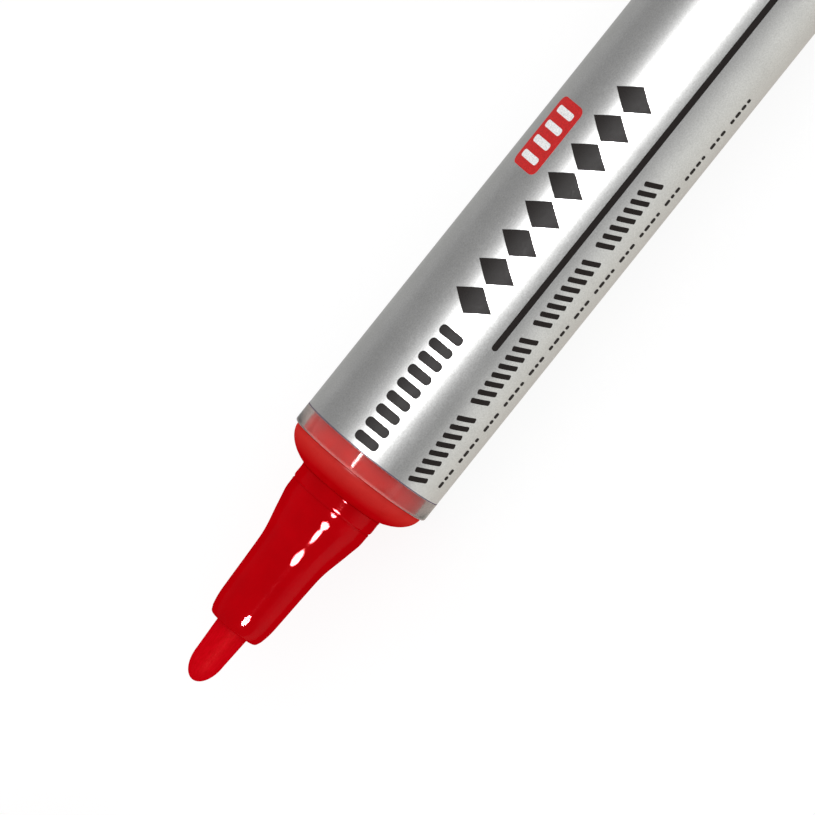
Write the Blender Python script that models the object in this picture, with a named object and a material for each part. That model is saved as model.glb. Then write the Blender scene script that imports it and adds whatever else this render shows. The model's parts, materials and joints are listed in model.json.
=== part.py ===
"""Pump-action whiteboard marker: clear labelled barrel, red nozzle with a bullet nib, push-button
pump at the tail, and a cap lying in line ahead of the nib.

Nearly every piece is turned about one axis. Outlines are lists of (at, radius) corners in
millimetres: "at" runs along the marker from the barrel's front rim, positive towards the tail, so
the nozzle and nib have negative values. A third number on a corner rounds it to that radius.
The world's X axis runs the same way, and the marker lies on the ground plane.
"""

import math

import bmesh
import bpy

MM = 0.001

# ---- driving sizes, in millimetres ----
BARREL_RADIUS = 8.85
BARREL_BORE = 7.80
BARREL_LENGTH = 88.0
CLEAR_BAND = 2.1  # unlabelled stretch at each end of the barrel
LABEL_THICKNESS = 0.09
LABEL_RECESS = 0.11  # depth of the panel that the label lies in

DOME_DEPTH = 3.5  # semi-axis of the shoulder's elliptical dome, along the marker
DOME_RISE = 6.0  # its other semi-axis, across the marker
DOME_RADIUS = 8.45  # the dome's widest radius, at the barrel's rim
DOME_FRONT = -3.17
DOME_BORE = 4.6

NOZZLE_FLANGE = -3.30
NOZZLE_FLANGE_RADIUS = 5.28
NOZZLE_LAND_END = -6.40
NOZZLE_LAND_RADIUS = 5.09
NOZZLE_GROOVE = -4.90
NOZZLE_WAIST = -12.6
NOZZLE_WAIST_RADIUS = 3.95
NOZZLE_END = -22.0
NOZZLE_END_RADIUS = 3.44
NOZZLE_CHAMBER = 3.0  # radius of the room for the absorber and the relay wick
NOZZLE_CHAMBER_FRONT = -10.0
NOZZLE_BACK = 9.0

NIB_RADIUS = 2.0
NIB_TIP = -29.1
NIB_BULLET = -26.0  # where the straight taper becomes the rounded bullet
NIB_BULLET_RADIUS = 1.79
NIB_BACK = 2.2

SKIRT_RADIUS = 7.7  # both plugs, inside the barrel's bore
SKIRT_BORE = 6.0
SHOULDER_BACK = 14.0
SEAL_GROOVE_RADIUS = 6.7
SEAL_GROOVE_WIDTH = 1.4
SEAL_RING_RADIUS = 7.21
SEAL_CORD_RADIUS = 0.47
FRONT_SEAL = 5.7
TAIL_SEAL = 81.2

SLEEVE_FRONT = 2.1
SLEEVE_BACK = 21.0
SLEEVE_RADIUS = 5.9
SLEEVE_BORE = 4.6
SLEEVE_RIB = (9.2, 10.0)
SEAT_FRONT = 17.5
SEAT_BACK = 20.5
SEAT_HOLE = 1.6
SEAT_CONE = 2.7
POPPET_LIFT = 1.0
POPPET_HEAD = 2.6
POPPET_HEAD_FRONT = 15.4
POPPET_STEM = 0.9
POPPET_PIN = 0.8

TAIL_FRONT = 80.0
TAIL_FLOOR = 82.4
TAIL_CHAMBER = 6.3
TAIL_BACK = 94.0
COLLAR_FRONT = 92.6
COLLAR_BACK = 96.2
COLLAR_BORE = 5.65

BUTTON_RADIUS = 5.5
BUTTON_BORE = 4.5
BUTTON_FLANGE = 6.2
BUTTON_FRONT = 90.6
BUTTON_STROKE = 4.0
BUTTON_BACK = COLLAR_BACK + BUTTON_STROKE + 2.3  # still stands proud when pressed
BUTTON_CEILING = BUTTON_BACK - 1.6

CAP_LENGTH = 40.0
CAP_MOUTH = -0.5  # the cap's mouth and every other cap figure, when the marker is capped
CAP_BORE = 7.65
CAP_GAP = 28.0  # from the nib's tip to the mouth of the cap lying ahead of it
CAP_TRAVEL = CAP_MOUTH - NIB_TIP + CAP_GAP
CAP_END = CAP_MOUTH - CAP_LENGTH
CAP_WALL = 2.0  # the closed end's thickness
CAP_DISC_RADIUS = 5.5
CAP_DISC_DEPTH = 0.8
CAP_PIN_RADIUS = 1.9
CAP_LINER_PIN = 1.3
CAP_FLUTES = 12
CAP_FLUTE_DEPTH = 0.35
CAP_FLUTE_SPAN = (-37.0, -15.0)

CLEARANCE = 0.1  # between neighbouring pieces
SEGMENTS = 36  # around the barrel, its plugs and the cap, with one flat facing the ground
FINE_SEGMENTS = 24  # around the slimmer pieces
FILLET_STEPS = 2


# ---- outline helpers ----
def fillet(before, corner, after):
    """Points that round a corner to its radius, between the corners on each side of it."""
    at, radius, rounding = corner
    to_before = (before[0] - at, before[1] - radius)
    to_after = (after[0] - at, after[1] - radius)
    length_before = math.hypot(*to_before)
    length_after = math.hypot(*to_after)
    one = (to_before[0] / length_before, to_before[1] / length_before)
    two = (to_after[0] / length_after, to_after[1] / length_after)
    half_angle = math.acos(one[0] * two[0] + one[1] * two[1]) / 2
    middle = (one[0] + two[0], one[1] + two[1])
    reach = rounding / math.sin(half_angle) / math.hypot(*middle)
    centre = (at + middle[0] * reach, radius + middle[1] * reach)
    tangent = rounding / math.tan(half_angle)
    start = (at + one[0] * tangent - centre[0], radius + one[1] * tangent - centre[1])
    end = (at + two[0] * tangent - centre[0], radius + two[1] * tangent - centre[1])
    turn = math.pi - 2 * half_angle
    points = []
    for step in range(FILLET_STEPS + 1):
        part = turn * step / FILLET_STEPS
        weight_start = math.sin(turn - part) / math.sin(turn)
        weight_end = math.sin(part) / math.sin(turn)
        points.append(
            (
                centre[0] + start[0] * weight_start + end[0] * weight_end,
                centre[1] + start[1] * weight_start + end[1] * weight_end,
            )
        )
    return points


def rounded(corners):
    """The outline with each corner that has a third number rounded to that radius."""
    points = []
    for index, corner in enumerate(corners):
        if len(corner) == 2:
            points.append(corner)
            continue
        before = corners[index - 1]
        after = corners[(index + 1) % len(corners)]
        points.extend(fillet(before, corner, after))
    return points


def flowing(start, end, start_slope, end_slope, steps):
    """A smooth curve between two outline points, with a given slope at each end."""
    length = end[0] - start[0]
    points = []
    for step in range(steps + 1):
        t = step / steps
        radius = (2 * t**3 - 3 * t**2 + 1) * start[1] + (3 * t**2 - 2 * t**3) * end[1]
        radius += length * ((t**3 - 2 * t**2 + t) * start_slope + (t**3 - t**2) * end_slope)
        points.append((start[0] + length * t, radius))
    return points


def dome_radius(at):
    """The shoulder's radius at a place ahead of the barrel's rim."""
    return DOME_RADIUS - DOME_RISE + DOME_RISE * math.sqrt(1 - (at / DOME_DEPTH) ** 2)


def groove(middle, outer):
    """Corners of a seal groove in a plug's skirt, from front to back."""
    half = SEAL_GROOVE_WIDTH / 2
    return [
        (middle - half, outer),
        (middle - half, SEAL_GROOVE_RADIUS),
        (middle + half, SEAL_GROOVE_RADIUS),
        (middle + half, outer),
    ]


# ---- object helpers ----
def material(name, colour, roughness, metallic=0.0, transmission=0.0):
    made = bpy.data.materials.new(name)
    made.use_nodes = True
    shader = made.node_tree.nodes["Principled BSDF"]
    shader.inputs["Base Color"].default_value = (*colour, 1.0)
    shader.inputs["Roughness"].default_value = roughness
    shader.inputs["Metallic"].default_value = metallic
    shader.inputs["Transmission Weight"].default_value = transmission
    made.diffuse_color = (*colour, 1.0)
    return made


def add_object(name, data, finish, parent):
    data.materials.append(finish)
    made = bpy.data.objects.new(name, data)
    made.parent = parent
    bpy.context.scene.collection.objects.link(made)
    return made


def turned_shape(outline, segments):
    """A bmesh of the outline spun about X. An outline that leaves the axis is closed to a ring."""
    shape = bmesh.new()
    first_angle = math.pi / segments - math.pi / 2
    to_corner = MM / math.cos(math.pi / segments)
    points = []
    for at, radius in outline:
        reach = radius * to_corner
        place = (at * MM, reach * math.cos(first_angle), reach * math.sin(first_angle))
        points.append(shape.verts.new(place))
    ends_on_axis = outline[0][1] == 0 and outline[-1][1] == 0
    last = len(points) - 1 if ends_on_axis else len(points)
    for index in range(last):
        shape.edges.new((points[index], points[(index + 1) % len(points)]))
    bmesh.ops.spin(
        shape,
        geom=shape.verts[:] + shape.edges[:],
        cent=(0, 0, 0),
        axis=(1, 0, 0),
        angle=2 * math.pi,
        steps=segments,
        use_merge=True,
    )
    bmesh.ops.remove_doubles(shape, verts=shape.verts, dist=1e-7)
    bmesh.ops.recalc_face_normals(shape, faces=shape.faces)
    return shape


def finish_mesh(name, shape, finish, parent):
    mesh = bpy.data.meshes.new(name)
    shape.to_mesh(mesh)
    shape.free()
    mesh.shade_smooth()
    mesh.set_sharp_from_angle(angle=math.radians(35))
    return add_object(name, mesh, finish, parent)


def turned(name, corners, finish, parent, segments=SEGMENTS):
    return finish_mesh(name, turned_shape(rounded(corners), segments), finish, parent)


def coil(name, ends, radius, wire, turns, finish, parent):
    """A compression spring between two places, with one closed coil at each end."""
    front, back = ends
    steps_per_turn = 12
    total = round(turns * steps_per_turn)
    closed_pitch = 1.15 * 2 * wire
    open_length = back - front - 2 * wire - 2 * closed_pitch
    curve = bpy.data.curves.new(name, "CURVE")
    curve.dimensions = "3D"
    curve.bevel_depth = wire * MM
    curve.bevel_resolution = 1
    curve.use_fill_caps = True
    spline = curve.splines.new("POLY")
    spline.points.add(total)
    for index, point in enumerate(spline.points):
        turn = index / steps_per_turn
        at = front + wire + min(turn, 1) * closed_pitch
        at += open_length * min(max((turn - 1) / (turns - 2), 0), 1)
        at += max(turn - turns + 1, 0) * closed_pitch
        angle = 2 * math.pi * turn
        place = (at, radius * math.cos(angle), radius * math.sin(angle))
        point.co = (place[0] * MM, place[1] * MM, place[2] * MM, 1)
    return add_object(name, curve, finish, parent)


def seal_ring(name, middle, finish, parent):
    """A rubber ring with a round cord."""
    sides = 6
    cord = []
    for side in range(sides):
        angle = 2 * math.pi * side / sides
        across = SEAL_RING_RADIUS + SEAL_CORD_RADIUS * math.sin(angle)
        cord.append((middle + SEAL_CORD_RADIUS * math.cos(angle), across))
    return turned(name, cord, finish, parent, FINE_SEGMENTS)


# ---- writing end ----
def add_nib(felt, axis):
    corners = [
        (NIB_BACK, 0),
        (NIB_BACK, NIB_RADIUS, 0.2),
        (NOZZLE_END, NIB_RADIUS),
    ]
    steps = 6
    for step in range(steps + 1):
        angle = math.pi / 2 * step / steps
        at = NIB_BULLET - (NIB_BULLET - NIB_TIP) * math.sin(angle)
        corners.append((at, NIB_BULLET_RADIUS * math.cos(angle) if step < steps else 0))
    turned("nib", corners, felt, axis, FINE_SEGMENTS)


def add_nozzle(red, axis):
    groove_half = 0.18
    groove_depth = 0.12
    groove_edge = 5.19
    spigot = DOME_BORE - CLEARANCE
    corners = [
        (NOZZLE_BACK, NOZZLE_CHAMBER),
        (NOZZLE_BACK, spigot),
        (DOME_FRONT + 0.05, spigot),
        (NOZZLE_FLANGE, NOZZLE_FLANGE_RADIUS),
        (NOZZLE_GROOVE + groove_half, groove_edge),
        (NOZZLE_GROOVE, groove_edge - groove_depth),
        (NOZZLE_GROOVE - groove_half, groove_edge),
    ]
    corners += flowing(
        (NOZZLE_LAND_END, NOZZLE_LAND_RADIUS),
        (NOZZLE_WAIST, NOZZLE_WAIST_RADIUS),
        start_slope=0.16,
        end_slope=0.05,
        steps=6,
    )
    corners += [
        (NOZZLE_END, NOZZLE_END_RADIUS, 1.3),
        (NOZZLE_END, NIB_RADIUS + CLEARANCE),
        (NOZZLE_CHAMBER_FRONT, NIB_RADIUS + CLEARANCE),
        (NOZZLE_CHAMBER_FRONT, NOZZLE_CHAMBER),
    ]
    turned("nozzle", corners, red, axis, FINE_SEGMENTS)


def add_shoulder_plug(red, axis):
    corners = [
        (-CLEARANCE, SKIRT_RADIUS),
        (-CLEARANCE, DOME_RADIUS),
    ]
    steps = 5
    for step in range(1, steps + 1):
        at = DOME_FRONT * math.sin(math.pi / 2 * step / steps)
        corners.append((at, dome_radius(at)))
    corners += [
        (DOME_FRONT + 0.12, DOME_BORE),
        (SLEEVE_FRONT - CLEARANCE, DOME_BORE),
        (SLEEVE_FRONT - CLEARANCE, SKIRT_BORE),
        (SHOULDER_BACK, SKIRT_BORE),
        (SHOULDER_BACK, SKIRT_RADIUS, 0.4),
    ]
    corners += reversed(groove(FRONT_SEAL, SKIRT_RADIUS))
    turned("shoulder_plug", corners, red, axis)


def add_feed_sleeve(natural, axis):
    rib_front, rib_back = SLEEVE_RIB
    rib_hole = 1.3
    corners = [
        (SLEEVE_FRONT, SLEEVE_BORE),
        (SLEEVE_FRONT, SLEEVE_RADIUS),
        (SLEEVE_BACK, SLEEVE_RADIUS, 0.4),
        (SLEEVE_BACK, SLEEVE_BORE),
        (rib_back, SLEEVE_BORE),
        (rib_back, rib_hole),
        (rib_front, rib_hole),
        (rib_front, SLEEVE_BORE),
    ]
    turned("feed_sleeve", corners, natural, axis, FINE_SEGMENTS)


def add_relay_wick(felt, axis):
    radius = NOZZLE_CHAMBER - CLEARANCE
    front = NIB_BACK + CLEARANCE
    back = NOZZLE_BACK - CLEARANCE
    corners = [(front, 0), (front, radius, 0.2), (back, radius, 0.2), (back, 0)]
    turned("relay_wick", corners, felt, axis, FINE_SEGMENTS)


def add_ink_absorber(foam, axis):
    inner = NIB_RADIUS + CLEARANCE
    outer = NOZZLE_CHAMBER - CLEARANCE
    front = NOZZLE_CHAMBER_FRONT + CLEARANCE
    corners = [(front, inner), (front, outer), (NIB_BACK, outer), (NIB_BACK, inner)]
    turned("ink_absorber", corners, foam, axis, FINE_SEGMENTS)


def add_valve_seat(rubber, axis):
    cone_back = SEAT_FRONT + SEAT_CONE - SEAT_HOLE
    outer = SLEEVE_BORE - CLEARANCE
    corners = [
        (SEAT_FRONT, SEAT_CONE),
        (SEAT_FRONT, outer),
        (SEAT_BACK, outer),
        (SEAT_BACK, SEAT_HOLE),
        (cone_back, SEAT_HOLE),
    ]
    turned("valve_seat", corners, rubber, axis, FINE_SEGMENTS)


def add_valve_poppet(natural, axis):
    """A cone that closes the seat from the nib's side, guided by a pin through the seat's hole."""
    stem_front = SLEEVE_RIB[1] + POPPET_LIFT + 1.4
    pin_back = SEAT_BACK + 0.9
    cone_sum = SEAT_FRONT + SEAT_CONE - 0.15  # at + radius is constant along a 45 degree cone
    corners = [
        (stem_front, 0),
        (stem_front, POPPET_STEM, 0.2),
        (POPPET_HEAD_FRONT, POPPET_STEM),
        (POPPET_HEAD_FRONT, POPPET_HEAD),
        (cone_sum - POPPET_HEAD, POPPET_HEAD),
        (cone_sum - POPPET_PIN, POPPET_PIN),
        (pin_back, POPPET_PIN, 0.2),
        (pin_back, 0),
    ]
    turned("valve_poppet", corners, natural, axis, FINE_SEGMENTS)


# ---- barrel ----
def add_barrel_tube(clear, axis):
    panel = BARREL_RADIUS - LABEL_RECESS
    back = BARREL_LENGTH
    corners = [
        (0, BARREL_BORE),
        (0, BARREL_RADIUS, 0.3),
        (CLEAR_BAND, BARREL_RADIUS),
        (CLEAR_BAND, panel),
        (back - CLEAR_BAND, panel),
        (back - CLEAR_BAND, BARREL_RADIUS),
        (back, BARREL_RADIUS, 0.3),
        (back, BARREL_BORE),
    ]
    turned("barrel_tube", corners, clear, axis)


def add_label_film(silver, axis):
    edge_gap = 0.05
    front = CLEAR_BAND + edge_gap
    back = BARREL_LENGTH - CLEAR_BAND - edge_gap
    inner = BARREL_RADIUS - LABEL_THICKNESS
    corners = [(front, inner), (front, BARREL_RADIUS), (back, BARREL_RADIUS), (back, inner)]
    turned("label_film", corners, silver, axis)


# ---- pump ----
def add_tail_plug(red, axis):
    air_hole = 0.8
    corners = [(TAIL_FRONT, air_hole), (TAIL_FRONT, SKIRT_RADIUS)]
    corners += groove(TAIL_SEAL, SKIRT_RADIUS)
    corners += [
        (BARREL_LENGTH + CLEARANCE, SKIRT_RADIUS),
        (BARREL_LENGTH + CLEARANCE, BARREL_RADIUS, 0.2),
        (TAIL_BACK, BARREL_RADIUS, 0.2),
        (TAIL_BACK, TAIL_CHAMBER),
        (TAIL_FLOOR, TAIL_CHAMBER),
        (TAIL_FLOOR, air_hole),
    ]
    turned("tail_plug", corners, red, axis)


def add_retaining_collar(red, axis):
    spigot = TAIL_CHAMBER - CLEARANCE
    corners = [
        (COLLAR_FRONT, COLLAR_BORE),
        (COLLAR_FRONT, spigot),
        (TAIL_BACK + CLEARANCE, spigot),
        (TAIL_BACK + CLEARANCE, BARREL_RADIUS, 0.2),
        (COLLAR_BACK, BARREL_RADIUS, 1.2),
        (COLLAR_BACK, COLLAR_BORE, 0.3),
    ]
    turned("retaining_collar", corners, red, axis)


def add_pump_button(red, axis):
    flange_back = COLLAR_FRONT - 0.3
    corners = [
        (BUTTON_CEILING, 0),
        (BUTTON_CEILING, BUTTON_BORE),
        (BUTTON_FRONT, BUTTON_BORE),
        (BUTTON_FRONT, BUTTON_FLANGE),
        (flange_back, BUTTON_FLANGE),
        (flange_back, BUTTON_RADIUS),
        (BUTTON_BACK, BUTTON_RADIUS, 1.0),
        (BUTTON_BACK, 0),
    ]
    turned("pump_button", corners, red, axis, FINE_SEGMENTS)


def add_pump_bellows(rubber, axis):
    """A corrugated cup, open where it stands on the tail plug's floor."""
    folds = 5
    wall = 0.5
    crest = 4.2
    root = 3.4
    front = TAIL_FLOOR + CLEARANCE
    back = BUTTON_CEILING - CLEARANCE
    step = (back - front - 2 * wall) / (2 * folds)
    outside = []
    inside = []
    for index in range(2 * folds + 1):
        radius = root if index % 2 else crest
        outside.append((front + wall + index * step, radius))
        inside.append((front + wall + index * step, radius - wall))
    corners = [(front, crest - wall), (front, crest)]
    corners += outside
    corners += [(back, crest, 0.3), (back, 0), (back - wall, 0)]
    corners += reversed(inside)
    on_axis = corners.index((back, 0))
    corners = corners[on_axis + 1 :] + corners[: on_axis + 1]
    turned("pump_bellows", corners, rubber, axis, FINE_SEGMENTS)


def add_check_valve(rubber, axis):
    """A mushroom-shaped flap over the air hole, held by a stem with a bulb."""
    stem = 0.6
    bulb = 1.05
    lip = 2.6
    lip_back = TAIL_FRONT - 0.15
    corners = [
        (lip_back - 0.95, 0),
        (lip_back - 0.75, lip - 1.0),
        (lip_back - 0.25, lip),
        (lip_back, lip),
        (lip_back, stem),
        (TAIL_FLOOR + CLEARANCE, stem),
        (TAIL_FLOOR + CLEARANCE, bulb),
        (TAIL_FLOOR + 1.0, stem),
        (TAIL_FLOOR + 1.0, 0),
    ]
    turned("check_valve", corners, rubber, axis, FINE_SEGMENTS)


# ---- cap ----
def cut_flutes(shape):
    """Pulls in one corner for each flute, clear of the flat that faces the ground."""
    start, end = CAP_FLUTE_SPAN
    corners_per_flute = SEGMENTS // CAP_FLUTES
    for vert in shape.verts:
        at = vert.co.x / MM
        reach = math.hypot(vert.co.y, vert.co.z)
        if not start + 0.5 < at < end - 0.5 or reach < CAP_BORE * 1.05 * MM:
            continue
        angle = math.atan2(vert.co.z, vert.co.y) + math.pi / 2
        corner = round(angle * SEGMENTS / (2 * math.pi) - 0.5) % corners_per_flute
        if corner == 1:
            shrink = 1 - CAP_FLUTE_DEPTH * MM / reach
            vert.co.y *= shrink
            vert.co.z *= shrink


def add_cap_shell(red, axis):
    flute_start, flute_end = CAP_FLUTE_SPAN
    flute_ramp = 1.5
    seat_gap = 0.12
    corners = []
    for at in (-1.7, -1.3, -0.9, CAP_MOUTH):
        corners.append((at, dome_radius(at) + seat_gap))
    corners += [
        (CAP_MOUTH, BARREL_RADIUS),
        (flute_end, BARREL_RADIUS),
        (flute_end - flute_ramp, BARREL_RADIUS),
        (flute_start + flute_ramp, BARREL_RADIUS),
        (flute_start, BARREL_RADIUS),
        (CAP_END, BARREL_RADIUS, 1.8),
        (CAP_END, CAP_DISC_RADIUS + CLEARANCE),
        (CAP_END + CAP_DISC_DEPTH + CLEARANCE, CAP_DISC_RADIUS + CLEARANCE),
        (CAP_END + CAP_DISC_DEPTH + CLEARANCE, CAP_PIN_RADIUS + CLEARANCE),
        (CAP_END + CAP_WALL, CAP_PIN_RADIUS + CLEARANCE),
        (CAP_END + CAP_WALL, CAP_BORE),
    ]
    shape = turned_shape(rounded(corners), SEGMENTS)
    cut_flutes(shape)
    finish_mesh("cap_shell", shape, red, axis)


def add_cap_liner(natural, axis):
    """The inner cup that seals round the nozzle's land and keeps the nib from drying."""
    wall = 0.9
    mouth = 5.34
    throat = 4.6
    floor = NIB_TIP - 1.9
    boss = 2.9
    boss_front = CAP_END + CAP_WALL + CLEARANCE
    pin_hole = CAP_LINER_PIN + CLEARANCE
    corners = [
        (floor, 0),
        (floor, throat, 0.8),
        (-12.0, throat),
        (-7.0, mouth),
        (-4.0, mouth),
        (-4.0, mouth + wall, 0.3),
        (-7.5, mouth + wall),
        (-12.5, throat + wall),
        (floor - 1.3, throat + wall, 1.0),
        (floor - 1.3, boss),
        (boss_front, boss),
        (boss_front, pin_hole),
        (floor - 2.5, pin_hole),
        (floor - 2.5, 0),
    ]
    turned("cap_liner", corners, natural, axis, FINE_SEGMENTS)


def add_cap_end_plug(red, axis):
    """The disc in the cap's closed end, whose stepped pin holds the liner."""
    corners = [
        (CAP_END, 0),
        (CAP_END, CAP_DISC_RADIUS, 0.15),
        (CAP_END + CAP_DISC_DEPTH, CAP_DISC_RADIUS),
        (CAP_END + CAP_DISC_DEPTH, CAP_PIN_RADIUS),
        (CAP_END + CAP_WALL, CAP_PIN_RADIUS),
        (CAP_END + CAP_WALL, CAP_LINER_PIN),
        (CAP_END + 6.0, CAP_LINER_PIN, 0.3),
        (CAP_END + 6.0, 0),
    ]
    turned("cap_end_plug", corners, red, axis, FINE_SEGMENTS)


# ---- assembly ----
def clear_scene():
    for obj in list(bpy.data.objects):
        bpy.data.objects.remove(obj, do_unlink=True)


def add_axis(name, place, parent=None):
    """An empty on the marker's axis that pieces are parented to."""
    axis = bpy.data.objects.new(name, None)
    axis.location = place
    axis.parent = parent
    bpy.context.scene.collection.objects.link(axis)
    return axis


def main():
    clear_scene()
    middle = (BUTTON_BACK + CAP_END - CAP_TRAVEL) / 2
    marker = add_axis("marker_axis", (-middle * MM, 0, BARREL_RADIUS * MM))
    cap = add_axis("cap_axis", (-CAP_TRAVEL * MM, 0, 0), marker)

    red = material("red_gloss_plastic", (0.44, 0.004, 0.012), 0.16)
    shoulder_red = material("shoulder_red_plastic", (0.54, 0.035, 0.030), 0.28)
    felt = material("red_inked_felt", (0.48, 0.006, 0.020), 0.85)
    foam = material("red_inked_foam", (0.40, 0.010, 0.020), 0.95)
    clear = material("clear_plastic", (0.95, 0.96, 0.96), 0.06, transmission=1.0)
    silver = material("silver_label_film", (0.60, 0.60, 0.60), 0.32, metallic=0.85)
    natural = material("natural_plastic", (0.80, 0.79, 0.75), 0.40)
    rubber = material("black_rubber", (0.03, 0.03, 0.03), 0.60)
    silicone = material("grey_silicone", (0.45, 0.46, 0.47), 0.50)
    steel = material("spring_steel", (0.62, 0.62, 0.63), 0.25, metallic=1.0)

    add_nib(felt, marker)
    add_nozzle(red, marker)
    add_shoulder_plug(shoulder_red, marker)
    seal_ring("front_seal_ring", FRONT_SEAL, rubber, marker)
    add_relay_wick(felt, marker)
    add_ink_absorber(foam, marker)
    add_feed_sleeve(natural, marker)
    add_valve_seat(silicone, marker)
    add_valve_poppet(natural, marker)
    valve_spring_ends = (SLEEVE_RIB[1] + CLEARANCE, POPPET_HEAD_FRONT - CLEARANCE)
    coil("valve_spring", valve_spring_ends, 1.75, 0.2, 5.5, steel, marker)

    add_barrel_tube(clear, marker)
    add_label_film(silver, marker)

    add_tail_plug(red, marker)
    seal_ring("tail_seal_ring", TAIL_SEAL, rubber, marker)
    add_retaining_collar(red, marker)
    add_pump_button(red, marker)
    add_pump_bellows(silicone, marker)
    pump_spring_ends = (TAIL_FLOOR + CLEARANCE, BUTTON_FRONT - CLEARANCE)
    coil("pump_spring", pump_spring_ends, 5.2, 0.33, 4.5, steel, marker)
    add_check_valve(rubber, marker)

    add_cap_shell(red, cap)
    add_cap_liner(natural, cap)
    add_cap_end_plug(red, cap)


main()
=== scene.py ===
"""The whiteboard marker's looks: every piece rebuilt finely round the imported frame, with its material.

Sizes are in millimetres along the marker, from the barrel's front rim (positive towards the tail),
and out from its axis. They come from the frame's boxes; what a box can't say is named below.
"""

import functools
import json
import math

import bmesh
import bpy
from mathutils import Matrix, Vector


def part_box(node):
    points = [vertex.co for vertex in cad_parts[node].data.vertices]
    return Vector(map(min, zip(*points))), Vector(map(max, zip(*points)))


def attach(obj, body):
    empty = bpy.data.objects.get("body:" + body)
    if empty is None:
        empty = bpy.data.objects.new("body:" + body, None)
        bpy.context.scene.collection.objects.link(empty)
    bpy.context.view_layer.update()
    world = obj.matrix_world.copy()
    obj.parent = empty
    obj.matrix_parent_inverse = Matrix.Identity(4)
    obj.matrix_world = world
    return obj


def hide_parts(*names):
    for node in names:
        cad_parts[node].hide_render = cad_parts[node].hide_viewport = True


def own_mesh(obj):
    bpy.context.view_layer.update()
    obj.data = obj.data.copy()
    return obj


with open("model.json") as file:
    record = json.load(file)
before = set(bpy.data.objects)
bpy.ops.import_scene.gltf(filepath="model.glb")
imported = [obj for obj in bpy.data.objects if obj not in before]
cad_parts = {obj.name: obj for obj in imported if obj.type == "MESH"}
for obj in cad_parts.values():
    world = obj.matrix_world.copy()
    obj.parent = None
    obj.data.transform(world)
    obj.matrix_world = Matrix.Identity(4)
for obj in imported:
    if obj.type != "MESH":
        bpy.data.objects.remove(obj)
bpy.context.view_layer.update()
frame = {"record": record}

MM = 0.001
SIDES = 192  # around every turned piece
TUBE_LOW, TUBE_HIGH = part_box("barrel_tube")
RIM_X = TUBE_LOW.x
AXIS_Z = (TUBE_LOW.z + TUBE_HIGH.z) / 2

# ---- shapes that the frame's boxes can't say ----
CLEAR_BAND = 2.25  # bare tube between its rim and the label, at both ends
RIM_PAINTED_GLOW = 0.13  # painted glow: emission at the clear tube's rims that stands in for the thin highlight along them
LABEL_THICKNESS = 0.08
PRINT_HEIGHT = 0.015
PRINT_STEP = 0.35  # widest facet of a printed mark round the barrel
SOFT_EDGE = 0.07  # the small rounding of every moulded edge

DOME_DEPTH = 3.5
DOME_RISE = 6.0
NOZZLE_GROOVE = -4.90
# the nozzle's waist and taper: place, radius and slope
NOZZLE_CURVE = (
    (-6.00, 5.14, 0.02),
    (-7.60, 4.87, 0.21),
    (-9.80, 4.385, 0.245),
    (-12.6, 3.94, 0.055),
    (-19.2, 3.64, 0.045),
    (-21.3, 3.33, 0.26),
)
NOZZLE_END_RADIUS = 3.02
NIB_BULLET = (-26.0, 1.79)
SEAL_CORD = 0.47
SEAL_RING_RADIUS = 7.21
SKIRT_RADIUS = 7.7
SKIRT_BORE = 6.0
SLEEVE_BORE = 4.6
SLEEVE_RIB = (9.2, 10.0)
POPPET_STEM = 0.9
POPPET_HEAD_FRONT = 15.4
POPPET_PIN = 0.8
TAIL_CHAMBER = 6.3
COLLAR_BORE = 5.65
CLEARANCE = 0.1  # between neighbouring pieces, as in the CAD
SEAL_GROOVE_RADIUS = 6.7
SEAL_GROOVE_HALF = 0.7

CAP_MOUTH = -0.5  # the cap's mouth when the marker is capped
CAP_BORE = 7.65
CAP_WALL = 2.0  # the closed end's thickness
CAP_FLUTES = 12
CAP_FLUTE_DEPTH = 0.35
CAP_FLUTE_WIDTH = 3.1
CAP_FLUTE_FROM_MOUTH = (14.5, 36.5)
CAP_FLUTE_RAMP = 2.0  # how gently a flute starts and ends

# ---- the view and the lights ----
CAMERA_TILT = 20  # degrees from straight down, towards -Y
CAMERA_BACK = 3.9  # degrees that the camera leans towards the tail
MARKER_SLANT = 51.3  # degrees of the marker's image below level, tip to the lower left
CAMERA_LENS = 300
VIEW_WIDTH = 87.9  # millimetres across the picture
LIGHT_DISTANCE = 0.6
VIEW_CENTRE = (8.5, -0.2)  # along the marker, and across the picture towards -Y
FLOOR_GLOW = 0.87  # what the floor shows the camera beyond the light that falls on it
FLOOR_LIGHT = 0.75  # what it gives back to matt surfaces
# the floor's brightness in reflections, by millimetres across from the axis, towards +Y
FLOOR_MIRRORED = (
    (-300, (0.75, 0.75, 0.73)),
    (-120, (0.92, 0.92, 0.89)),
    (-35, (0.91, 0.91, 0.86)),
    (-16, (0.74, 0.71, 0.64)),
    (-9, (0.58, 0.54, 0.48)),
    (9, (0.32, 0.32, 0.31)),
    (28, (0.27, 0.27, 0.26)),
    (120, (0.32, 0.32, 0.32)),
)
# and as seen through the clear tube
FLOOR_THROUGH = (
    (-70, (0.50, 0.49, 0.47)),
    (-22, (0.13, 0.12, 0.11)),
    (22, (0.13, 0.12, 0.11)),
    (70, (0.50, 0.49, 0.47)),
)
# the walls' brightness in reflections, by how far the direction points towards +Y
WALL_MIRRORED = (
    (-1.0, (0.80, 0.80, 0.79)),
    (-0.975, (0.78, 0.78, 0.77)),
    (-0.94, (0.28, 0.28, 0.28)),
    (-0.88, (0.12, 0.12, 0.12)),
    (-0.60, (0.17, 0.17, 0.17)),
    (0.50, (0.21, 0.21, 0.21)),
    (0.80, (0.23, 0.23, 0.23)),
    (1.0, (0.28, 0.28, 0.28)),
)
WORLD_LIGHT = 0.95  # the walls' light on matt surfaces
WORLD_THROUGH = 1.25  # and their brightness through the clear tube


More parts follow.
